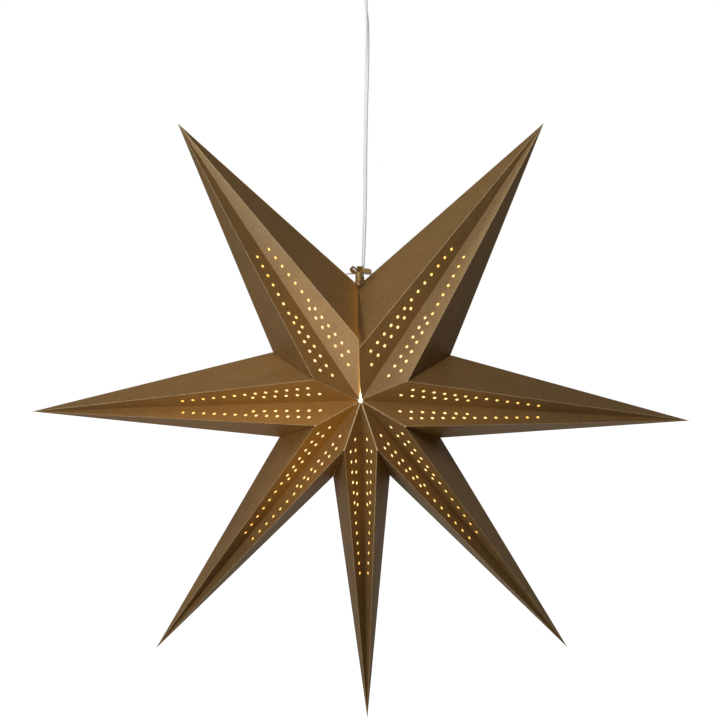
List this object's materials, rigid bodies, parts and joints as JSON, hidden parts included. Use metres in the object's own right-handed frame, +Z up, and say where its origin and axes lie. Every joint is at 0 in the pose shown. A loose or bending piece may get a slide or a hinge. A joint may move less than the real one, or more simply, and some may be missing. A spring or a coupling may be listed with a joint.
{
  "type": "folded card star lantern",
  "caption": "Hanging star lantern of folded card points with punched rows of holes, lit by a globe bulb inside, with its flex and a ceiling cup.",
  "frame": {"origin": "middle of the ceiling plate's top face, from which the star hangs", "axes": "+Z up, +X to the viewer's right, and the star's front looks along -Y"},
  "size_m": [0.7517, 0.1986, 0.884],
  "materials": {
    "card": "satin",
    "bulb_glass": "opal",
    "holder_plastic": "gloss",
    "contact_ceramic": "matte",
    "brass": "bright",
    "flex": "satin",
    "ribbon": "satin ribbon",
    "ceiling_plastic": "satin"
  },
  "bodies": {
    "root": {"point_upper_left": "card", "point_left": "card", "point_lower_left": "card", "point_bottom": "card", "point_lower_right": "card", "point_right": "card", "point_upper_right": "card", "bulb": "bulb_glass", "holder_sleeve": "holder_plastic", "holder_dome": "holder_plastic", "flex_grip": "holder_plastic", "contact_insert": "contact_ceramic", "thread_shell": "brass", "centre_contact": "brass", "cord": "flex", "joint_ribbon": "ribbon", "ceiling_plate": "ceiling_plastic", "ceiling_cup": "ceiling_plastic", "cup_gland": "ceiling_plastic"}
  },
  "joints": []
}
